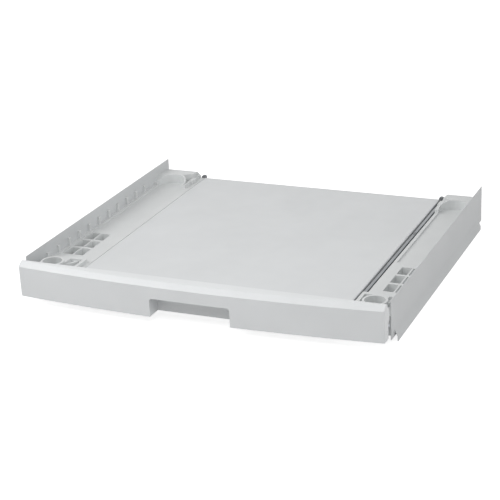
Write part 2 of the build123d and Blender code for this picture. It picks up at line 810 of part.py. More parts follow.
def side_plate_screws():
    """Screws through the plates' end flanges."""
    front = Pos(flange_screw_x, plate_front, flange_screw_z) * Rot(90, 0, 0) * pan_screw(screw_length)
    rear = Pos(flange_screw_x, carcass_depth, flange_screw_z) * Rot(-90, 0, 0) * pan_screw(screw_length)
    return both_sides([front, rear])


def slide_rail_screws():
    """Screws that hold the fixed slide members to the rails."""
    face = slide_web - member_wall
    screw = csk_screw(member_wall, screw_length, screw_radius, csk_head_radius)
    return both_sides([Pos(face, y, slide_z) * Rot(0, -90, 0) * screw for y in rail_screw_ys])


def slide_shelf_rivets():
    """Countersunk rivets that hold the inner slide members to the shelf."""
    face = shelf_half + member_wall
    grip = member_wall + shelf_wall
    shank = csk_screw(member_wall, grip + rivet_tail_height, rivet_radius, rivet_head_radius)
    tail = Pos(0, 0, -grip - rivet_tail_height / 2) * Cylinder(rivet_tail_radius, rivet_tail_height)
    rivet = shank + tail
    return both_sides([Pos(face, y, slide_z) * Rot(0, 90, 0) * rivet for y in shelf_rivet_ys])


def cross_bar_screws():
    """Countersunk screws up through the ends of the bars."""
    screw = Rot(180, 0, 0) * csk_screw(bar_thickness, bar_screw_length, screw_radius, csk_head_radius)
    places = [y for bar_y in (front_bar_y, rear_bar_y) for y in bar_screw_ys(bar_y)]
    return both_sides([Pos(bar_screw_x, y, pad_proud) * screw for y in places])


def fascia_screws():
    """Screws from the shelf's front cells into the fascia's bosses."""
    start = fascia_end_depth + shelf_wall
    screw = Rot(-90, 0, 0) * pan_screw(fascia_screw_length)
    return [Pos(x, start, fascia_screw_z) * screw for x in fascia_screw_xs]


def end_cap_screws():
    """Screws through the ears of the slide's end caps."""
    start = rail_rear + cap_ear_thickness
    return both_sides([Pos(cap_screw_x, start, slide_z) * Rot(-90, 0, 0) * pan_screw(screw_length)])


def save(name, solids):
    """Moves a node's solids to the kit's own origin and writes them."""
    moved = [place * solid for solid in (solids if isinstance(solids, list) else [solids])]
    shape = moved[0] if len(moved) == 1 else Compound(children=moved)
    export_step(shape, f"parts/{name}.step")


def save_pair(name, solids):
    """Writes the right-hand piece and its mirror image."""
    solids = solids if isinstance(solids, list) else [solids]
    save(f"{name}_right", solids)
    save(f"{name}_left", [mirror(solid, about=Plane.YZ) for solid in solids])


outer_cage_web = slide_web - member_wall - (web_gap - cage_sheet) / 2
outer_cage_tip = outer_ball_x - ball_diameter / 2 - cage_sheet
inner_cage_web = middle_web - member_wall - (inner_tip_gap - cage_sheet) / 2
inner_cage_tip = inner_ball_x - ball_diameter / 2 - cage_sheet

save("fascia", make_fascia())
save("shelf_panel", make_shelf_panel())
save("foot_rail_right", make_foot_rail(False))
save("foot_rail_left", mirror(make_foot_rail(True), about=Plane.YZ))
save_pair("side_plate", make_side_plate())
save_pair("slide_outer", make_slide_outer())
save_pair("slide_middle", make_slide_middle())
save_pair("slide_inner", make_slide_inner())
save_pair("ball_cage_outer", make_cage(outer_cage_web, outer_cage_tip, outer_ball_z, outer_ball_x))
save_pair("ball_cage_inner", make_cage(inner_cage_web, inner_cage_tip, inner_ball_z, inner_ball_x))
save_pair("balls_outer", make_balls(outer_ball_z, outer_ball_x))
save_pair("balls_inner", make_balls(inner_ball_z, inner_ball_x))
save_pair("slide_end_cap", make_end_cap())
save_pair("slide_lock_clip", make_lock_clip())
save_pair("base_pads", make_base_pads())
save("cross_bar_front", make_cross_bar(front_bar_y))
save("cross_bar_rear", make_cross_bar(rear_bar_y))
save("side_plate_screws", side_plate_screws())
save("slide_rail_screws", slide_rail_screws())
save("slide_shelf_rivets", slide_shelf_rivets())
save("cross_bar_screws", cross_bar_screws())
save("fascia_screws", fascia_screws())
save("end_cap_screws", end_cap_screws())
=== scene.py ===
import json
import math

import bmesh
import bpy
from mathutils import Matrix, Vector


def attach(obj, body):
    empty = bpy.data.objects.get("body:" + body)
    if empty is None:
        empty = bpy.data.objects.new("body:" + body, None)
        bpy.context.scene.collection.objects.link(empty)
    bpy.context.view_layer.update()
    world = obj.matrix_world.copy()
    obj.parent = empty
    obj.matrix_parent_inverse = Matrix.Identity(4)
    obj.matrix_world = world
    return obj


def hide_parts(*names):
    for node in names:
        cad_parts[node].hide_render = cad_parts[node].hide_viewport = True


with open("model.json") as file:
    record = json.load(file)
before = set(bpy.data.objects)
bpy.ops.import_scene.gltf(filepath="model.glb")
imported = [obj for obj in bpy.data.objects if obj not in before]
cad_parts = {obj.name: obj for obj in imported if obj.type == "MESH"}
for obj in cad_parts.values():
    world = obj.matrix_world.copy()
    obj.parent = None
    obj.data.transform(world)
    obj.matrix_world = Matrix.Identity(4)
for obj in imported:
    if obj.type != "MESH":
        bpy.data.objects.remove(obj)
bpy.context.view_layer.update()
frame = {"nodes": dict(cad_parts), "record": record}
nodes = frame["nodes"]
MM = 0.001

# The photograph's camera, solved from the corners of the fascia, shelf, plates and skirts.
# Its place and reach are in metres, its lens and sensor in millimetres.
CAMERA_PLACE = (0.8795, -2.0489, 0.8934)
CAMERA_YAW = math.radians(-23.7)
CAMERA_PITCH = math.radians(-21.3)
CAMERA_ROLL = math.radians(-2.7)
CAMERA_LENS = 104.46
CAMERA_REACH = 50
SENSOR_WIDTH = 36

# Soft studio light: square soft boxes in a pale room, by place and width in metres and power in watts
LAMPS = {
    "key_lamp": ((-1.2, -1.0, 1.6), 1.2, 14.5),
    "left_lamp": ((-2.2, -0.6, 1.2), 1.4, 11),
    "right_lamp": ((4.5, -0.8, 1.8), 3.0, 44),
    "front_top_lamp": ((0.26, -0.9, 0.9), 0.5, 2.5),
    "rear_top_lamp": ((0.28, 0.3, 1.4), 0.7, 1.2),
}
ROOM_STRENGTH = 0.4
WHITE = "#FFFFFF"

# The background paper, in metres. It is greyer than real paper, so that less light comes up from it,
# and its glow makes up for that in the picture.
FLOOR_SIZE = 8.0
FLOOR_DROP = 0.2 * MM
FLOOR_GREY = "#C8C8C8"
FLOOR_GLOW = 0.82

# Noise seldom leaves this range, so it is taken as a pattern's two ends
NOISE_LOW = 0.3
NOISE_HIGH = 0.7

# What all the white mouldings share, in millimetres: slow flow marks, sink and patches of shine
FLOW_SIZE = 70
SINK_DEPTH = 0.25
SHINE_SIZE = 22

# How far the patches' roughness goes below and above the moulding's own
SHINE_BELOW = 0.04
SHINE_ABOVE = 0.05

# Hot-dip zinc's crystals, in millimetres
CRYSTAL_SIZE = 5

# Rounding of sharp edges, in millimetres, by the start of the nodes' names
EDGE_ROUNDINGS = {
    "fascia": 0.5,
    "shelf_panel": 0.5,
    "foot_rail": 0.5,
    "side_plate": 0.2,
    "slide_end_cap": 0.4,
    "cross_bar": 0.3,
    "base_pads": 0.3,
    "slide_outer": 0.12,
    "slide_middle": 0.12,
    "slide_inner": 0.12,
}
NAME_ENDS = ("", "_left", "_right", "_front", "_rear")
EDGE_STEPS = 2

# Screws, in millimetres: zinc plated self-tapping screws with a cross recess
SHANK_RADIUS = 1.75
THREAD_DEPTH = 0.4
THREAD_PITCH = 1.4
PAN_HEAD = {"Head Height": 2.2, "Crown": 1.3, "Recess Depth": 1.4}
BAR_HEAD = {"Head Height": 2.0, "Crown": 0.05, "Recess Depth": 1.2}
SLIDE_HEAD = {"Head Height": 1.0, "Crown": 0.05, "Recess Depth": 0.8}
SCREW_HEADS = {
    "side_plate_screws": PAN_HEAD,
    "end_cap_screws": PAN_HEAD,
    "fascia_screws": PAN_HEAD,
    "cross_bar_screws": BAR_HEAD,
    "slide_rail_screws": SLIDE_HEAD,
}
TURN_SEED = 7

# Shares of the head's radius: a recess slot's length and width, and how far out the rim begins
SLOT_LENGTH_SHARE = 1.2
SLOT_WIDTH_SHARE = 0.34
RIM_SHARE = 0.95

# Share of the core's radius that is left at the end of the blunt point
POINT_END_SHARE = 0.4

# How many sides and rings round shapes have
HEAD_SIDES = 28
HEAD_RINGS = 5
SHANK_SIDES = 16
THREAD_STEPS_PER_TURN = 14
RIDGE_SIDES = 3
BALL_SIDES = 20
BALL_RINGS = 12

# How the solids' triangles are joined, and which edges count as sharp
WELD = 0.002 * MM
FLAT_ANGLE = math.radians(0.6)
SHARP_ANGLE = math.radians(28)

# Settings of the nodes that do sums
MULTIPLY = {"operation": "MULTIPLY"}
DIVIDE = {"operation": "DIVIDE"}
SUBTRACT = {"operation": "SUBTRACT"}
LARGER_OF = {"operation": "MAXIMUM"}


def linear(hex_colour):
    """An sRGB hex colour as the linear RGBA that the shaders use."""
    channels = [int(hex_colour[i : i + 2], 16) / 255 for i in (1, 3, 5)]
    toned = [c / 12.92 if c <= 0.04045 else ((c + 0.055) / 1.055) ** 2.4 for c in channels]
    return (*toned, 1.0)


def add_node(tree, kind, settings=None, inputs=None):
    """Adds a node, sets its settings, and fills or links its inputs by name or number."""
    node = tree.nodes.new(kind)
    for name, value in (settings or {}).items():
        setattr(node, name, value)
    for key, value in (inputs or {}).items():
        if isinstance(value, bpy.types.NodeSocket):
            tree.links.new(value, node.inputs[key])
        else:
            node.inputs[key].default_value = value
    return node


def new_material(name, roughness, metallic=0.0, specular=0.5):
    """A material whose shader has uniform values on its own sockets."""
    material = bpy.data.materials.new(name)
    material.use_nodes = True
    shader = material.node_tree.nodes["Principled BSDF"]
    shader.inputs["Roughness"].default_value = roughness
    shader.inputs["Metallic"].default_value = metallic
    shader.inputs["Specular IOR Level"].default_value = specular
    return material, material.node_tree, shader


def object_point(tree, stretch=(1, 1, 1)):
    """The piece's own coordinates in metres, stretched along its axes."""
    place = add_node(tree, "ShaderNodeTexCoord").outputs["Object"]
    return add_node(tree, "ShaderNodeMapping", inputs={"Vector": place, "Scale": stretch}).outputs["Vector"]


def grain(tree, size_mm, detail=3.0, stretch=(1, 1, 1)):
    """Noise whose lumps have a real size in millimetres."""
    inputs = {"Vector": object_point(tree, stretch), "Scale": 1 / (size_mm * MM), "Detail": detail}
    return add_node(tree, "ShaderNodeTexNoise", inputs=inputs).outputs["Fac"]


def shade_between(tree, factor, low_hex, high_hex, start=NOISE_LOW, end=NOISE_HIGH):
    """A colour between two sRGB values, driven by a pattern."""
    ramp = add_node(tree, "ShaderNodeValToRGB", inputs={"Fac": factor})
    first, last = ramp.color_ramp.elements
    first.position = start
    first.color = linear(low_hex)
    last.position = end
    last.color = linear(high_hex)
    return ramp.outputs["Color"]


def spread(tree, factor, low, high):
    """A pattern mapped to a range of values."""
    inputs = {"Value": factor, "From Min": NOISE_LOW, "From Max": NOISE_HIGH, "To Min": low, "To Max": high}
    return add_node(tree, "ShaderNodeMapRange", inputs=inputs).outputs["Result"]


def relief(tree, height, depth_mm, strength, below=None):
    """Bump of a real depth, on top of another relief where there is one."""
    inputs = {"Height": height, "Distance": depth_mm * MM, "Strength": strength}
    if below is not None:
        inputs["Normal"] = below
    return add_node(tree, "ShaderNodeBump", inputs=inputs).outputs["Normal"]


def moulded_plastic(name, low_hex, high_hex, roughness, skin_mm, skin_depth_mm):
    """White thermoplastic from a spark-eroded mould: a fine even skin over very slight flow and sink."""
    material, tree, shader = new_material(name, roughness)
    flow = grain(tree, FLOW_SIZE, detail=2.0)
    # The real skin has grains of about 0.1 mm, too fine to show, so it is drawn about ten times as coarse
    skin = grain(tree, skin_mm, detail=2.0)
    patches = grain(tree, SHINE_SIZE, detail=2.0)
    tree.links.new(shade_between(tree, flow, low_hex, high_hex), shader.inputs["Base Color"])
    gloss = spread(tree, patches, low=roughness - SHINE_BELOW, high=roughness + SHINE_ABOVE)
    tree.links.new(gloss, shader.inputs["Roughness"])
    sink = relief(tree, flow, SINK_DEPTH, strength=0.5)
    tree.links.new(relief(tree, skin, skin_depth_mm, strength=0.5, below=sink), shader.inputs["Normal"])
    return material


def make_abs():
    name = "moulded_abs_satin"
    return moulded_plastic(name, "#DEE0E1", "#E2E4E5", roughness=0.36, skin_mm=1.1, skin_depth_mm=0.012)


def make_polystyrene():
    """High-impact polystyrene, moulded almost smooth: the shelf, which shines a little at low angles."""
    name = "moulded_polystyrene_smooth"
    return moulded_plastic(name, "#D6D8D9", "#DADCDD", roughness=0.40, skin_mm=1.6, skin_depth_mm=0.010)


def make_polypropylene():
    """Polypropylene, moulded with a matt skin: the foot rails, softer and a touch greyer than the shelf."""
    name = "moulded_polypropylene_matt"
    return moulded_plastic(name, "#D6D8D8", "#DBDDDD", roughness=0.48, skin_mm=0.9, skin_depth_mm=0.020)


def make_powder_coat():
    """Steel sheet with a baked powder coat, whose orange peel shows as a slow ripple in the shine."""
    material, tree, shader = new_material("powder_coated_steel", roughness=0.5, specular=0.35)
    peel = grain(tree, size_mm=1.8, detail=2.0)
    cloud = grain(tree, size_mm=120, detail=2.0)
    patches = grain(tree, size_mm=30)
    tree.links.new(shade_between(tree, cloud, "#D0D2D3", "#D5D7D8"), shader.inputs["Base Color"])
    tree.links.new(spread(tree, patches, low=0.46, high=0.54), shader.inputs["Roughness"])
    tree.links.new(relief(tree, peel, depth_mm=0.03, strength=0.5), shader.inputs["Normal"])
    return material


def make_zinc_plate():
    """Cold-rolled steel strip with bright zinc plating: fine rolling lines along the slide."""
    material, tree, shader = new_material("zinc_plated_steel", roughness=0.34, metallic=1.0)
    # Real rolling lines are hairs of under 0.1 mm, too fine to show, so they are drawn coarser
    lines = grain(tree, size_mm=0.9, detail=4.0, stretch=(1, 0.02, 1))
    cloud = grain(tree, size_mm=14, stretch=(1, 0.3, 1))
    tree.links.new(shade_between(tree, cloud, "#8F9295", "#A2A5A8"), shader.inputs["Base Color"])
    tree.links.new(spread(tree, lines, low=0.28, high=0.44), shader.inputs["Roughness"])
    tree.links.new(relief(tree, lines, depth_mm=0.02, strength=0.4), shader.inputs["Normal"])
    return material


def make_galvanised():
    """Hot-dip galvanised bar: flat crystals of zinc, each with its own grey and its own shine."""
    material, tree, shader = new_material("hot_dip_galvanised_steel", roughness=0.42, metallic=1.0)
    inputs = {"Vector": object_point(tree), "Scale": 1 / (CRYSTAL_SIZE * MM), "Randomness": 1.0}
    cells = add_node(tree, "ShaderNodeTexVoronoi", {"feature": "F1"}, inputs).outputs
    channels = add_node(tree, "ShaderNodeSeparateColor", inputs={"Color": cells["Color"]}).outputs
    crystal = channels["Red"]
    tone = shade_between(tree, crystal, "#9DA1A4", "#B9BCBE", start=0.0, end=1.0)
    tree.links.new(tone, shader.inputs["Base Color"])
    tree.links.new(spread(tree, crystal, low=0.34, high=0.52), shader.inputs["Roughness"])
    tree.links.new(relief(tree, cells["Distance"], depth_mm=0.03, strength=0.3), shader.inputs["Normal"])
    return material


def make_acetal():
    """Grey acetal, moulded: end caps, ball cages and clips, with a dull waxy sheen."""
    material, tree, shader = new_material("moulded_acetal_grey", roughness=0.44)
    cloud = grain(tree, size_mm=6)
    patches = grain(tree, size_mm=2.5)
    # Drawn coarser than the real skin's grains of about 0.1 mm, which are too fine to show
    skin = grain(tree, size_mm=0.5, detail=2.0)
    tree.links.new(shade_between(tree, cloud, "#727477", "#7E8083"), shader.inputs["Base Color"])
    tree.links.new(spread(tree, patches, low=0.38, high=0.52), shader.inputs["Roughness"])
    tree.links.new(relief(tree, skin, depth_mm=0.02, strength=0.5), shader.inputs["Normal"])
    return material


def make_rubber():
    """Die-cut foam rubber pad: matt, with open grains."""
    material, tree, shader = new_material("die_cut_foam_rubber", roughness=0.85, specular=0.3)
    pores = grain(tree, size_mm=0.8, detail=4.0)
    patches = grain(tree, size_mm=3)
    tree.links.new(shade_between(tree, pores, "#151516", "#2A2A2B"), shader.inputs["Base Color"])
    tree.links.new(spread(tree, patches, low=0.8, high=0.95), shader.inputs["Roughness"])
    tree.links.new(relief(tree, pores, depth_mm=0.15, strength=0.6), shader.inputs["Normal"])
    return material


def make_fastener_steel():
    """Cold-headed screw steel, zinc plated and passivated: a faint blue-grey with soft marks."""
    material, tree, shader = new_material("zinc_plated_fasteners", roughness=0.32, metallic=1.0)
    cloud = grain(tree, size_mm=1.5)
    patches = grain(tree, size_mm=0.6)
    marks = grain(tree, size_mm=0.4)
    tree.links.new(shade_between(tree, cloud, "#A6AAAF", "#C0C3C7"), shader.inputs["Base Color"])
    tree.links.new(spread(tree, patches, low=0.26, high=0.42), shader.inputs["Roughness"])
    tree.links.new(relief(tree, marks, depth_mm=0.01, strength=0.4), shader.inputs["Normal"])
    return material


def make_ball_steel():
    """Chrome steel, ground and polished: a near mirror under a film of grease."""
    material, tree, shader = new_material("polished_chrome_steel", roughness=0.12, metallic=1.0)
    film = grain(tree, size_mm=1.0)
    tree.links.new(shade_between(tree, film, "#B4B5B7", "#CBCCCE"), shader.inputs["Base Color"])
    tree.links.new(spread(tree, film, low=0.08, high=0.22), shader.inputs["Roughness"])
    return material


def seen_directly(tree):
    """1 for what the camera sees, straight or through a reflection or a clear piece, else 0."""
    rays = add_node(tree, "ShaderNodeLightPath").outputs
    straight_or_shiny = {0: rays["Is Camera Ray"], 1: rays["Is Glossy Ray"]}
    either = add_node(tree, "ShaderNodeMath", LARGER_OF, straight_or_shiny).outputs[0]
    or_clear = {0: either, 1: rays["Is Transmission Ray"]}
    return add_node(tree, "ShaderNodeMath", LARGER_OF, or_clear).outputs[0]


def make_floor_paper():
    """Background paper, white to the camera through its glow, which still takes the object's shadow."""
    material, tree, shader = new_material("white_background_paper", roughness=0.9, specular=0.2)
    shader.inputs["Base Color"].default_value = linear(FLOOR_GREY)
    glow = add_node(tree, "ShaderNodeEmission", inputs={"Color": linear(WHITE), "Strength": FLOOR_GLOW})
    both = add_node(tree, "ShaderNodeAddShader", inputs={0: shader.outputs[0], 1: glow.outputs[0]})
    mixed = {0: seen_directly(tree), 1: shader.outputs[0], 2: both.outputs[0]}
    mix = add_node(tree, "ShaderNodeMixShader", inputs=mixed)
    tree.links.new(mix.outputs[0], tree.nodes["Material Output"].inputs["Surface"])
    return material


def make_camera():
    """The photograph's camera."""
    data = bpy.data.cameras.new("photo_camera")
    data.lens = CAMERA_LENS
    data.sensor_width = SENSOR_WIDTH
    data.clip_end = CAMERA_REACH
    camera = bpy.data.objects.new("photo_camera", data)
    bpy.context.scene.collection.objects.link(camera)
    level_run = math.cos(CAMERA_PITCH)
    forward = Vector(
        (math.sin(CAMERA_YAW) * level_run, math.cos(CAMERA_YAW) * level_run, math.sin(CAMERA_PITCH))
    )
    level = Vector((math.cos(CAMERA_YAW), -math.sin(CAMERA_YAW), 0))
    upright = level.cross(forward)
    right = level * math.cos(CAMERA_ROLL) + upright * math.sin(CAMERA_ROLL)
    up = upright * math.cos(CAMERA_ROLL) - level * math.sin(CAMERA_ROLL)
    turn = Matrix((right, up, -forward)).transposed().to_4x4()
    camera.matrix_world = Matrix.Translation(CAMERA_PLACE) @ turn
    bpy.context.scene.camera = camera


def make_lamp(name, place, size, power):
    data = bpy.data.lights.new(name, "AREA")
    data.size = size
    data.energy = power
    lamp = bpy.data.objects.new(name, data)
    bpy.context.scene.collection.objects.link(lamp)
    lamp.location = place
    lamp.rotation_euler = (-Vector(place)).to_track_quat("-Z", "Y").to_euler()


def make_room():
    """The pale room that fills the shadows, white where the camera or a shiny surface sees it."""
    world = bpy.data.worlds.new("studio_room")
    bpy.context.scene.world = world
    world.use_nodes = True
    tree = world.node_tree
    tree.nodes.clear()
    seen = seen_directly(tree)
    white = linear(WHITE)
    fill = add_node(tree, "ShaderNodeBackground", inputs={"Color": white, "Strength": ROOM_STRENGTH})
    shown = add_node(tree, "ShaderNodeBackground", inputs={"Color": white, "Strength": 1.0})
    mixed = {0: seen, 1: fill.outputs[0], 2: shown.outputs[0]}
    mix = add_node(tree, "ShaderNodeMixShader", inputs=mixed)
    add_node(tree, "ShaderNodeOutputWorld", inputs={"Surface": mix.outputs[0]})


def make_floor():
    """A wide sheet of paper just under the skirts."""
    half = FLOOR_SIZE / 2
    mesh = bpy.data.meshes.new("floor")
    corners = [(x * half, y * half, -FLOOR_DROP) for x, y in ((-1, -1), (1, -1), (1, 1), (-1, 1))]
    mesh.from_pydata(corners, [], [range(len(corners))])
    mesh.materials.append(make_floor_paper())
    floor = bpy.data.objects.new("floor", mesh)
    bpy.context.scene.collection.objects.link(floor)


def body_of(node_name):
    """The body that carries a node."""
    for body, members in frame["record"]["behaviour"]["bodies"].items():
        if node_name in members:
            return body
    raise KeyError(node_name)


def slot_of(node_name):
    """The record's material slot of a node."""
    for part in frame["record"]["subparts"]:
        if part["node"] == node_name:
            return part["material_slot"]
    raise KeyError(node_name)


def finish_of(node_name):
    """The material of a node."""
    return finishes[slot_of(node_name)]


def place_piece(piece, node_name):
    """A finished piece stands for its node, on the node's body and with its finish."""
    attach(piece, body_of(node_name))
    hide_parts(node_name)


def bake_modifiers(piece):
    """Turns the result of a piece's modifiers into its own mesh."""
    graph = bpy.context.evaluated_depsgraph_get()
    mesh = bpy.data.meshes.new_from_object(piece.evaluated_get(graph))
    piece.modifiers.clear()
    piece.data = mesh


def joined_copy(node_name):
    """A copy of a node's mesh, with its loose triangles joined and flat areas made whole."""
    work = bmesh.new()
    work.from_mesh(nodes[node_name].data)
    bmesh.ops.remove_doubles(work, verts=work.verts, dist=WELD)
    everywhere = {"verts": work.verts, "edges": work.edges}
    bmesh.ops.dissolve_limit(work, angle_limit=FLAT_ANGLE, delimit={"NORMAL"}, **everywhere)
    return work


def make_soft_edged(node_name, rounding_mm):
    """A node with its sharp edges rounded by a real radius and its curves shaded smooth."""
    work = joined_copy(node_name)
    for face in work.faces:
        face.smooth = True
    mesh = bpy.data.meshes.new(f"{node_name}_finished")
    work.to_mesh(mesh)
    work.free()
    mesh.materials.clear()
    mesh.materials.append(finish_of(node_name))
    piece = bpy.data.objects.new(f"{node_name}_finished", mesh)
    bpy.context.scene.collection.objects.link(piece)
    bevel = piece.modifiers.new("edges", "BEVEL")
    bevel.width = rounding_mm * MM
    bevel.segments = EDGE_STEPS
    bevel.limit_method = "ANGLE"
    bevel.angle_limit = SHARP_ANGLE
    bevel.use_clamp_overlap = True
    bevel.harden_normals = True
    weighted = piece.modifiers.new("normals", "WEIGHTED_NORMAL")
    weighted.keep_sharp = True
    bake_modifiers(piece)
    place_piece(piece, node_name)


def loose_parts(node_name):
    """The corner points of each separate solid in a node, in the mesh's own order."""
    work = joined_copy(node_name)
    seen = set()
    parts = []
    for start in work.verts:
        if start in seen:
            continue
        seen.add(start)
        waiting = [start]
        points = []
        while waiting:
            vert = waiting.pop()
            points.append(vert.co.copy())
            for edge in vert.link_edges:
                other = edge.other_vert(vert)
                if other not in seen:
                    seen.add(other)
                    waiting.append(other)
        parts.append(points)
    work.free()
    return parts


def span_of(points):
    """The lowest and highest corner of some points."""
    low = Vector(min(point[axis] for point in points) for axis in range(3))
    high = Vector(max(point[axis] for point in points) for axis in range(3))
    return low, high


def screw_fit(points):
    """The middle of a screw's top, the way its head points, the head's radius and the whole length."""
    low, high = span_of(points)
    middle = (low + high) / 2
    size = high - low
    along = max(range(3), key=lambda axis: size[axis])
    way = Vector((0, 0, 0))
    way[along] = 1
    radius = min(size) / 2
    # Only the head is as wide as the whole screw, so the points furthest out tell at which end it is
    from_middle = [point - middle for point in points]
    rim = [arm for arm in from_middle if (arm - way * arm.dot(way)).length > radius * RIM_SHARE]
    if sum(arm.dot(way) for arm in rim) < 0:
        way = -way
    return middle + way * size[along] / 2, way, radius, size[along]


def tree_with_inputs(name, inputs):
    """An empty Geometry Nodes tree with named inputs: its geometry, its sizes and its material."""
    tree = bpy.data.node_groups.new(name, "GeometryNodeTree")
    tree.interface.new_socket("Geometry", in_out="INPUT", socket_type="NodeSocketGeometry")
    for label in inputs:
        tree.interface.new_socket(label, in_out="INPUT", socket_type="NodeSocketFloat")
    tree.interface.new_socket("Seed", in_out="INPUT", socket_type="NodeSocketInt")
    tree.interface.new_socket("Material", in_out="INPUT", socket_type="NodeSocketMaterial")
    tree.interface.new_socket("Geometry", in_out="OUTPUT", socket_type="NodeSocketGeometry")
    return tree, add_node(tree, "NodeGroupInput").outputs


def lowered(tree, geometry, depth):
    """Geometry moved down by a depth."""
    down = add_node(tree, "ShaderNodeMath", MULTIPLY, {0: depth, 1: -1.0}).outputs[0]
    move = add_node(tree, "ShaderNodeCombineXYZ", inputs={"Z": down}).outputs[0]
    moved = {"Geometry": geometry, "Translation": move}
    return add_node(tree, "GeometryNodeTransform", inputs=moved).outputs[0]


def crowned_head(tree, given):
    """A head whose top is at zero: straight or conical sides under a flat dome."""
    radius = given["Head Radius"]
    crown = given["Crown"]
    side = add_node(tree, "ShaderNodeMath", SUBTRACT, {0: given["Head Height"], 1: crown}).outputs[0]
    sizes = {"Vertices": HEAD_SIDES, "Fill Segments": HEAD_RINGS, "Depth": side}
    sizes.update({"Radius Top": radius, "Radius Bottom": given["Neck Radius"]})
    cone = add_node(tree, "GeometryNodeMeshCone", {"fill_type": "TRIANGLE_FAN"}, sizes).outputs["Mesh"]
    # The points of the top face rise onto half an ellipse: the crown times the root of 1 - share squared
    place = add_node(tree, "GeometryNodeInputPosition").outputs[0]
    flat = add_node(tree, "ShaderNodeVectorMath", MULTIPLY, {0: place, 1: (1, 1, 0)}).outputs[0]
    reach = add_node(tree, "ShaderNodeVectorMath", {"operation": "LENGTH"}, {0: flat}).outputs["Value"]
    share = add_node(tree, "ShaderNodeMath", DIVIDE, {0: reach, 1: radius}).outputs[0]
    square = add_node(tree, "ShaderNodeMath", MULTIPLY, {0: share, 1: share}).outputs[0]
    clamped = {**SUBTRACT, "use_clamp": True}
    rest = add_node(tree, "ShaderNodeMath", clamped, {0: 1.0, 1: square}).outputs[0]
    root = add_node(tree, "ShaderNodeMath", {"operation": "SQRT"}, {0: rest}).outputs[0]
    lift = add_node(tree, "ShaderNodeMath", MULTIPLY, {0: root, 1: crown}).outputs[0]
    up = add_node(tree, "ShaderNodeCombineXYZ", inputs={"Z": lift}).outputs[0]
    level = add_node(tree, "ShaderNodeSeparateXYZ", inputs={0: place}).outputs["Z"]
    half = add_node(tree, "ShaderNodeMath", DIVIDE, {0: side, 1: 2.0}).outputs[0]
    top = add_node(tree, "ShaderNodeMath", {"operation": "GREATER_THAN"}, {0: level, 1: half}).outputs[0]
    domed = {"Geometry": cone, "Selection": top, "Offset": up}
    head = add_node(tree, "GeometryNodeSetPosition", inputs=domed).outputs[0]
    return lowered(tree, head, given["Head Height"])


def cross_recess(tree, given, head):
    """The head with two crossed slots cut into it, by boxes that stand half out of its top."""
    radius = given["Head Radius"]
    length = add_node(tree, "ShaderNodeMath", MULTIPLY, {0: radius, 1: SLOT_LENGTH_SHARE}).outputs[0]
    width = add_node(tree, "ShaderNodeMath", MULTIPLY, {0: radius, 1: SLOT_WIDTH_SHARE}).outputs[0]
    depth = add_node(tree, "ShaderNodeMath", MULTIPLY, {0: given["Recess Depth"], 1: 2.0}).outputs[0]
    how = {"operation": "DIFFERENCE", "solver": "MANIFOLD"}
    cut = add_node(tree, "GeometryNodeMeshBoolean", how, {"Mesh 1": head})
    for across, along in ((length, width), (width, length)):
        size = add_node(tree, "ShaderNodeCombineXYZ", inputs={"X": across, "Y": along, "Z": depth})
        slot = add_node(tree, "GeometryNodeMeshCube", inputs={"Size": size.outputs[0]}).outputs["Mesh"]
        tree.links.new(slot, cut.inputs["Mesh 2"])
    return cut.outputs["Mesh"]


def threaded_shank(tree, given):
    """A core with a helical thread, ending in a blunt point as long as the shank's radius."""
    radius = given["Shank Radius"]
    length = given["Length"]
    ridge_depth = given["Thread Depth"]
    core = add_node(tree, "ShaderNodeMath", SUBTRACT, {0: radius, 1: ridge_depth}).outputs[0]
    shank = add_node(tree, "ShaderNodeMath", SUBTRACT, {0: length, 1: given["Head Height"]}).outputs[0]
    run = add_node(tree, "ShaderNodeMath", SUBTRACT, {0: shank, 1: radius}).outputs[0]
    rod_sizes = {"Vertices": SHANK_SIDES, "Radius Top": core, "Radius Bottom": core, "Depth": run}
    rod = add_node(tree, "GeometryNodeMeshCone", inputs=rod_sizes).outputs["Mesh"]
    blunt = add_node(tree, "ShaderNodeMath", MULTIPLY, {0: core, 1: POINT_END_SHARE}).outputs[0]
    point_sizes = {"Vertices": SHANK_SIDES, "Radius Top": core, "Radius Bottom": blunt, "Depth": radius}
    point = add_node(tree, "GeometryNodeMeshCone", inputs=point_sizes).outputs["Mesh"]
    turns = add_node(tree, "ShaderNodeMath", DIVIDE, {0: run, 1: given["Thread Pitch"]}).outputs[0]
    helix_sizes = {"Resolution": THREAD_STEPS_PER_TURN, "Rotations": turns, "Height": run}
    helix_sizes.update({"Start Radius": core, "End Radius": core})
    helix = add_node(tree, "GeometryNodeCurveSpiral", inputs=helix_sizes).outputs[0]
    ridge_sizes = {"Resolution": RIDGE_SIDES, "Radius": ridge_depth}
    ridge = add_node(tree, "GeometryNodeCurvePrimitiveCircle", inputs=ridge_sizes).outputs[0]
    swept = {"Curve": helix, "Profile Curve": ridge, "Fill Caps": True}
    thread = add_node(tree, "GeometryNodeCurveToMesh", inputs=swept).outputs[0]
    tip = add_node(tree, "ShaderNodeMath", SUBTRACT, {0: length, 1: radius}).outputs[0]
    return lowered(tree, rod, tip), lowered(tree, thread, tip), lowered(tree, point, length)


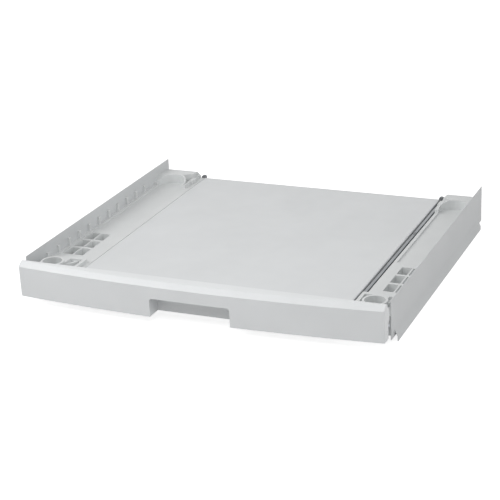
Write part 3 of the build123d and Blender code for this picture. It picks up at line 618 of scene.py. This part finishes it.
def put_on_places(tree, given, pieces):
    """The pieces on every place, each turned along its axis and by a chance angle about it."""
    joined = add_node(tree, "GeometryNodeJoinGeometry")
    for piece in pieces:
        tree.links.new(piece, joined.inputs[0])
    axis = add_node(tree, "GeometryNodeInputNamedAttribute", {"data_type": "FLOAT_VECTOR"}, {"Name": "axis"})
    facing = {"Vector": axis.outputs[0]}
    upright = add_node(tree, "FunctionNodeAlignRotationToVector", {"axis": "Z"}, facing).outputs[0]
    # Inputs 2 and 3 are the least and the greatest number
    chance = {2: 0.0, 3: math.tau, "Seed": given["Seed"]}
    angle = add_node(tree, "FunctionNodeRandomValue", {"data_type": "FLOAT"}, chance).outputs[1]
    spin = add_node(tree, "FunctionNodeAxisAngleToRotation", inputs={"Angle": angle}).outputs[0]
    both = {"Rotation": upright, "Rotate By": spin}
    turned = add_node(tree, "FunctionNodeRotateRotation", {"rotation_space": "LOCAL"}, both).outputs[0]
    placed = {"Points": given["Geometry"], "Instance": joined.outputs[0], "Rotation": turned}
    copies = add_node(tree, "GeometryNodeInstanceOnPoints", inputs=placed).outputs[0]
    real = add_node(tree, "GeometryNodeRealizeInstances", inputs={0: copies}).outputs[0]
    coat = {"Geometry": real, "Material": given["Material"]}
    coated = add_node(tree, "GeometryNodeSetMaterial", inputs=coat).outputs[0]
    add_node(tree, "NodeGroupOutput", inputs={0: coated})


def make_screw_tree():
    """A self-tapping screw on every place: head, cross recess, thread and point."""
    head_sizes = ("Head Radius", "Head Height", "Crown", "Neck Radius", "Recess Depth")
    shank_sizes = ("Shank Radius", "Length", "Thread Depth", "Thread Pitch")
    tree, given = tree_with_inputs("cross_recess_screws", head_sizes + shank_sizes)
    head = cross_recess(tree, given, crowned_head(tree, given))
    put_on_places(tree, given, (head, *threaded_shank(tree, given)))
    return tree


def make_ball_tree():
    """A bearing ball on every place."""
    tree, given = tree_with_inputs("bearing_balls", ("Radius",))
    sizes = {"Segments": BALL_SIDES, "Rings": BALL_RINGS, "Radius": given["Radius"]}
    ball = add_node(tree, "GeometryNodeMeshUVSphere", inputs=sizes).outputs["Mesh"]
    put_on_places(tree, given, (ball,))
    return tree


def make_grown(node_name, tree, places, axes, sizes):
    """Grows a tree's pieces on the places of a node, as one plain mesh that stands for it."""
    mesh = bpy.data.meshes.new(f"{node_name}_places")
    mesh.from_pydata(places, [], [])
    ways = mesh.attributes.new("axis", "FLOAT_VECTOR", "POINT")
    ways.data.foreach_set("vector", [value for axis in axes for value in axis])
    piece = bpy.data.objects.new(f"{node_name}_grown", mesh)
    bpy.context.scene.collection.objects.link(piece)
    grown = piece.modifiers.new("grown", "NODES")
    grown.node_group = tree
    values = {**sizes, "Seed": TURN_SEED, "Material": finish_of(node_name)}
    for socket in tree.interface.items_tree:
        if socket.name in values:
            grown[socket.identifier] = values[socket.name]
    bake_modifiers(piece)
    work = bmesh.new()
    work.from_mesh(piece.data)
    bmesh.ops.recalc_face_normals(work, faces=work.faces)
    work.to_mesh(piece.data)
    work.free()
    piece.data.shade_smooth()
    piece.data.set_sharp_from_angle(angle=SHARP_ANGLE)
    place_piece(piece, node_name)


def make_screws(node_name, head, tree):
    """The screws of a node, as long and wide as its solids. All heads but a pan head narrow to the shank."""
    fits = [screw_fit(points) for points in loose_parts(node_name)]
    places, axes, radii, lengths = zip(*fits)
    shank_radius = SHANK_RADIUS * MM
    sizes = {label: value * MM for label, value in head.items()}
    sizes["Head Radius"] = radii[0]
    sizes["Neck Radius"] = radii[0] if head is PAN_HEAD else shank_radius
    sizes["Length"] = lengths[0]
    sizes["Shank Radius"] = shank_radius
    sizes["Thread Depth"] = THREAD_DEPTH * MM
    sizes["Thread Pitch"] = THREAD_PITCH * MM
    make_grown(node_name, tree, places, axes, sizes)


def make_balls(node_name, tree):
    """The balls of a node, each at the middle of its solid."""
    spans = [span_of(points) for points in loose_parts(node_name)]
    places = [(low + high) / 2 for low, high in spans]
    first_low, first_high = spans[0]
    radius = (first_high - first_low).z / 2
    upright = (0, 0, 1)
    make_grown(node_name, tree, places, [upright] * len(places), {"Radius": radius})


finishes = {
    "white_moulding": make_abs(),
    "white_shelf": make_polystyrene(),
    "rail_moulding": make_polypropylene(),
    "painted_sheet": make_powder_coat(),
    "zinc_steel": make_zinc_plate(),
    "galvanised_bar": make_galvanised(),
    "black_plastic": make_acetal(),
    "pad_rubber": make_rubber(),
    "screw_steel": make_fastener_steel(),
    "ball_steel": make_ball_steel(),
}

make_camera()
make_room()
for lamp_name, (lamp_place, lamp_size, lamp_power) in LAMPS.items():
    make_lamp(lamp_name, lamp_place, lamp_size, lamp_power)
make_floor()

for name, node in nodes.items():
    node.data.materials.clear()
    node.data.materials.append(finish_of(name))

for start, rounding in EDGE_ROUNDINGS.items():
    for name in (start + end for end in NAME_ENDS):
        if name in nodes:
            make_soft_edged(name, rounding)

screw_tree = make_screw_tree()
for name, head in SCREW_HEADS.items():
    make_screws(name, head, screw_tree)
ball_tree = make_ball_tree()
for name in nodes:
    if name.startswith("balls_"):
        make_balls(name, ball_tree)

bpy.context.scene.view_settings.view_transform = "Standard"
